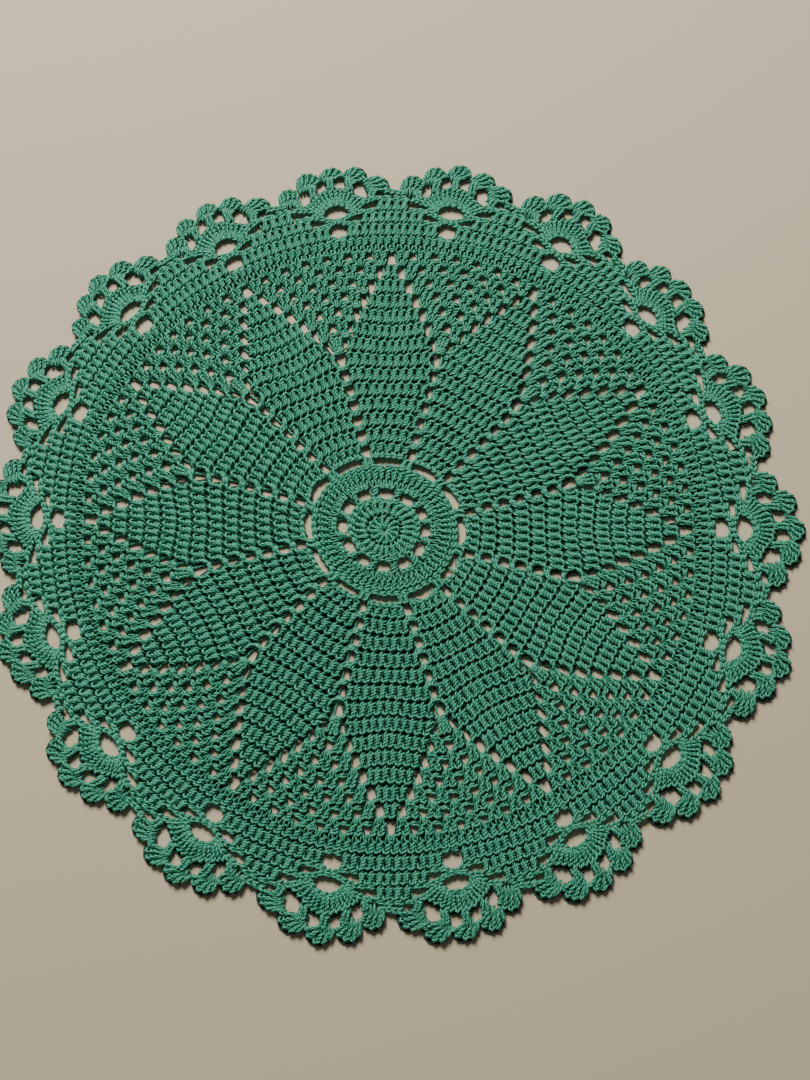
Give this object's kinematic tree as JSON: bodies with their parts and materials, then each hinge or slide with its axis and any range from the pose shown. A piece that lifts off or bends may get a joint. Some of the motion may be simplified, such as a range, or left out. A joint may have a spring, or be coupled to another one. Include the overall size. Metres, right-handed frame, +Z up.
{
  "type": "crocheted lace doily",
  "caption": "Flat round crocheted cotton doily with leaf-shaped petals, an openwork mesh between them and a scalloped shell edge.",
  "frame": {"origin": "middle of the underside, at the centre of the first round", "axes": "+Z up out of the right side of the work, +Y towards the far edge, +X to the right"},
  "size_m": [0.3604, 0.3519, 0.0024],
  "materials": {
    "cotton": "matt green crochet cotton, worked in double crochet"
  },
  "bodies": {
    "root": {"doily": "cotton"}
  },
  "joints": []
}
